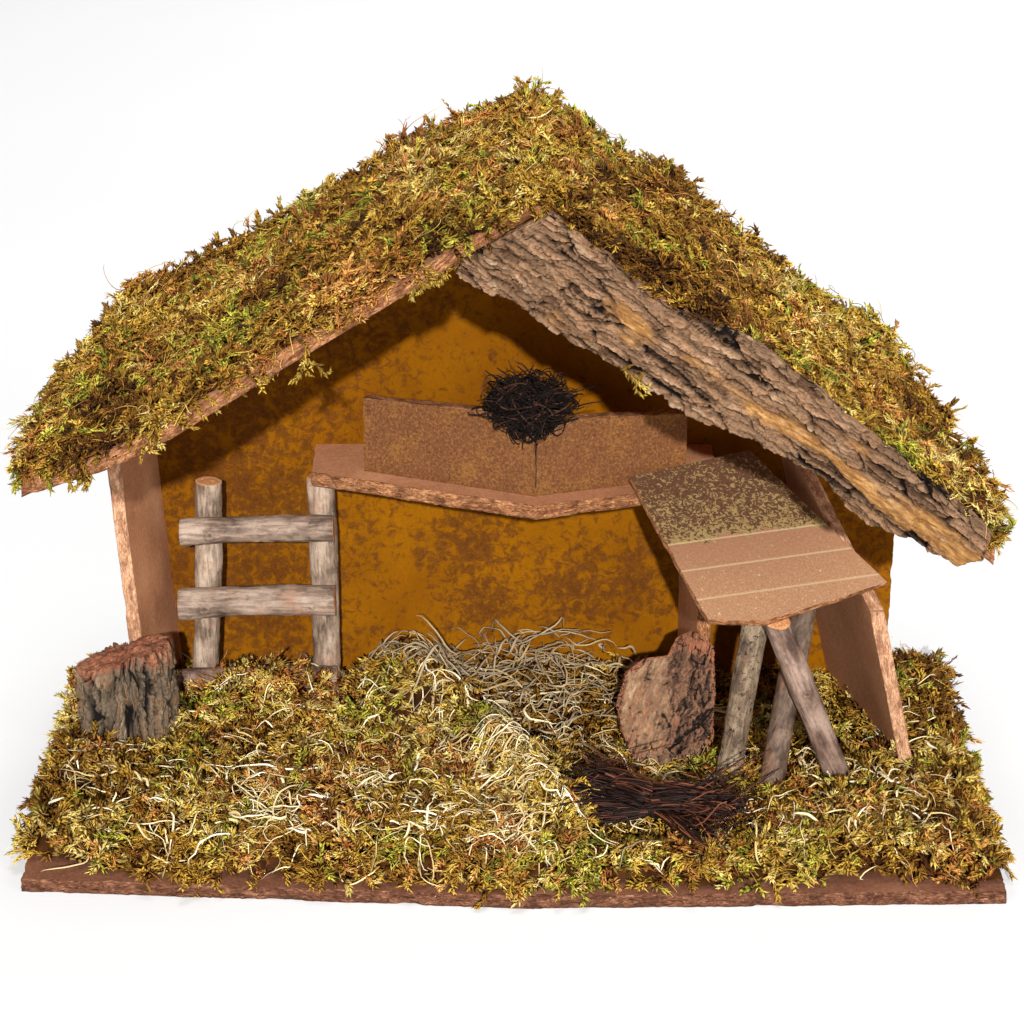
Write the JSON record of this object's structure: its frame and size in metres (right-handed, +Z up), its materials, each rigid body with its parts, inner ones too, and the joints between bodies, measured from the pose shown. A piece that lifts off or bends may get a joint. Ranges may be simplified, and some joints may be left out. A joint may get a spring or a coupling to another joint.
{
  "type": "nativity stable",
  "caption": "Open-fronted wooden toy stable with a mossy gable roof, a loft, a twig ladder and a propped lean-to stall, made to stand behind nativity figures.",
  "frame": {"origin": "on the underside of the base board, under its middle", "axes": "+X to the right along the base, +Y to the back wall, +Z up"},
  "size_m": [0.4008, 0.2161, 0.289],
  "materials": {
    "fibreboard": "matte fibreboard with fibrous cut edges",
    "ochre_board": "matte ochre stain with brown mottling over fibreboard",
    "rail_board": "matte brown fibreboard with yellow fibres",
    "hardboard": "matte tan hardboard with pale speckles",
    "twig": "smooth grey-beige bark with cut ends",
    "bark": "rough layered pine bark",
    "moss": "dried olive moss",
    "straw": "straw and moss fibres",
    "nest_fibre": "dark dry fibres",
    "brushwood": "thin dark reddish twigs",
    "steel": "plain steel nails",
    "tie_wire": "dark wire"
  },
  "bodies": {
    "root": {"base_board": "fibreboard", "left_wall": "fibreboard", "right_wall": "fibreboard", "divider": "fibreboard", "roof_left": "fibreboard", "roof_right": "fibreboard", "loft_shelf": "fibreboard", "back_wall": "ochre_board", "loft_rail_left": "rail_board", "loft_rail_right": "rail_board", "canopy": "hardboard", "ladder_stile_left": "twig", "ladder_stile_right": "twig", "ladder_rung_top": "twig", "ladder_rung_middle": "twig", "ladder_rung_bottom": "twig", "prop_left": "twig", "prop_right": "twig", "prop_rear": "twig", "roof_bark": "bark", "bark_stump": "bark", "bark_slab": "bark", "roof_moss_left": "moss", "roof_moss_right": "moss", "ground_moss_left": "moss", "ground_moss_right": "moss", "ground_mound": "straw", "nest": "nest_fibre", "brushwood_bundle": "brushwood", "base_nails": "steel", "wall_nails": "steel", "roof_nails": "steel", "ladder_nails": "steel", "bundle_tie": "tie_wire"}
  },
  "joints": []
}
